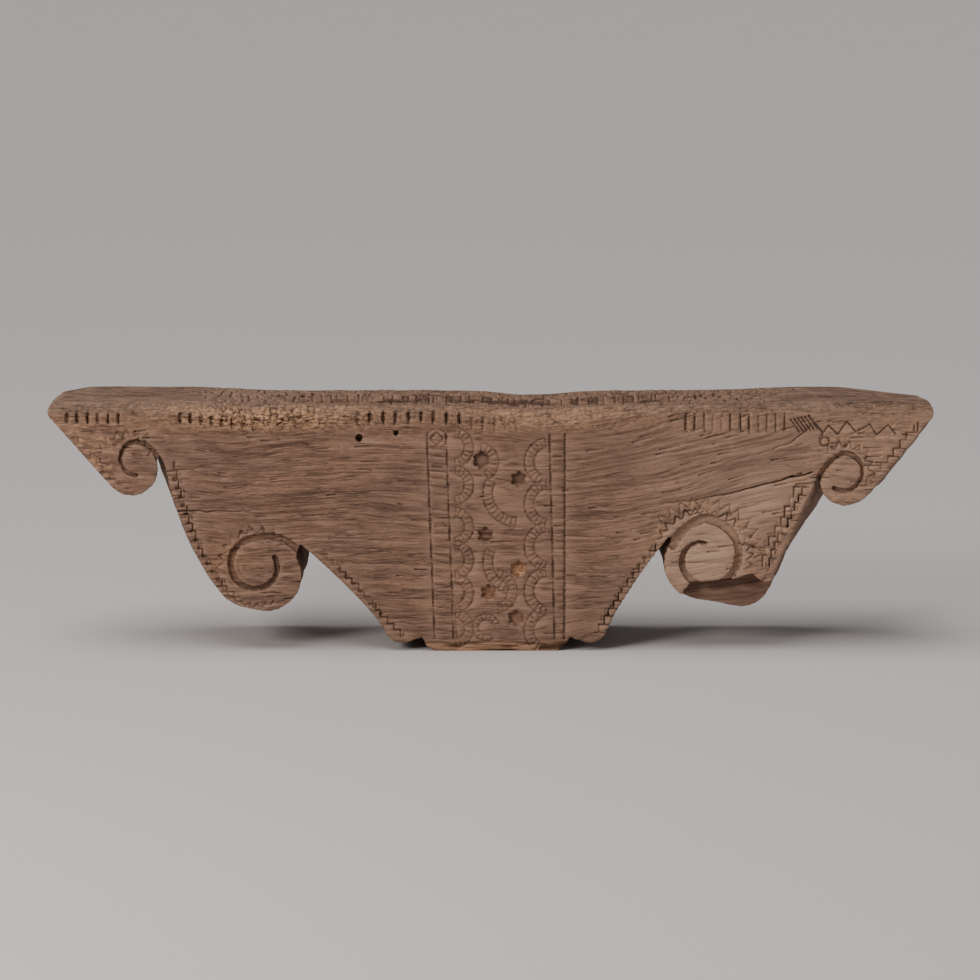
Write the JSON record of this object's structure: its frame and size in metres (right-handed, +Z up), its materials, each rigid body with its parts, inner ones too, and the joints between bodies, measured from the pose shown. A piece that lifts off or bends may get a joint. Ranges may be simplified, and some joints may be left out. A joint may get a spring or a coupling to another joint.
{
  "type": "carved bracket capital",
  "caption": "Long wooden corbel carved from one timber, with hooked volute ends, chip-carved borders and a panel of stars and rings; it carries a beam on top of a post.",
  "frame": {"origin": "on the ground, in the middle of the length and of the depth", "axes": "+Z up; the length runs along X; the carved face looks towards -Y"},
  "size_m": [1.1998, 0.165, 0.342],
  "materials": {
    "weathered_wood": "dry, weathered and unfinished, grey-brown with rubbed paler places"
  },
  "bodies": {
    "root": {"bracket_capital": "weathered_wood"}
  },
  "joints": []
}
